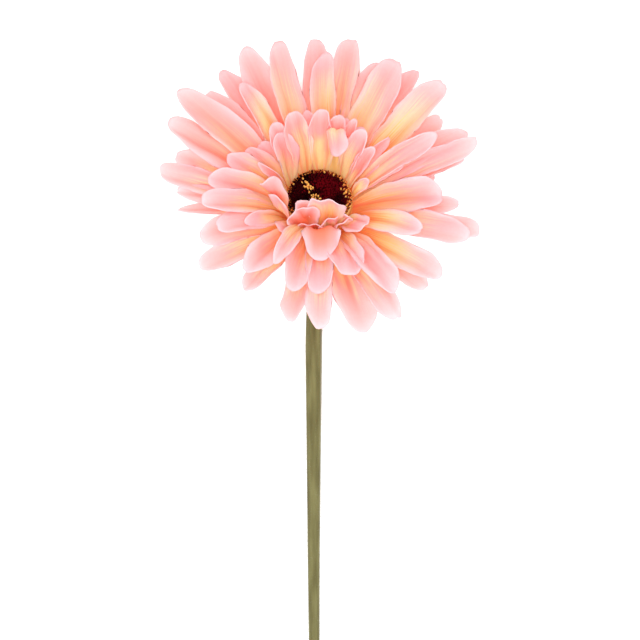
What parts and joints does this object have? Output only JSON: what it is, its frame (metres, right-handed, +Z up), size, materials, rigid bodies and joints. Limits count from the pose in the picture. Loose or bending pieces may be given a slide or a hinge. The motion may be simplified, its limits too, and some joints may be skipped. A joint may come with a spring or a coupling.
{
  "type": "cut gerbera",
  "caption": "Cut gerbera lying on a surface: a bare bent stem and a pale pink bloom with a dark burgundy disc, rings of upright inner petals and long overlapping outer petals",
  "frame": {"origin": "Centre of the flower's bounding box at its underside, on the surface that it lies on", "axes": "+Z up from the surface, +Y from the cut end of the stem to the bloom, +X to the right as seen from above with the bloom at the top"},
  "size_m": [0.1138, 0.45, 0.0601],
  "materials": {
    "stem": "olive green, matt, finely downy, with soft lengthwise ribs",
    "involucre": "mid green, matt, downy bracts with paler edges",
    "outer_petals": "soft satin, translucent, pale pink at the tip and peach yellow at the root",
    "middle_petals": "soft satin, translucent, pink at the tip and salmon to peach at the root",
    "inner_petals": "soft satin, translucent, pink at the tip and warm yellow at the root",
    "disc": "velvety, almost black burgundy, with golden pollen tips"
  },
  "bodies": {
    "root": {"stem": "stem", "involucre": "involucre", "outer_ray_petals": "outer_petals", "middle_ray_petals": "middle_petals", "inner_ray_petals": "inner_petals", "disc_florets": "disc"}
  },
  "joints": []
}
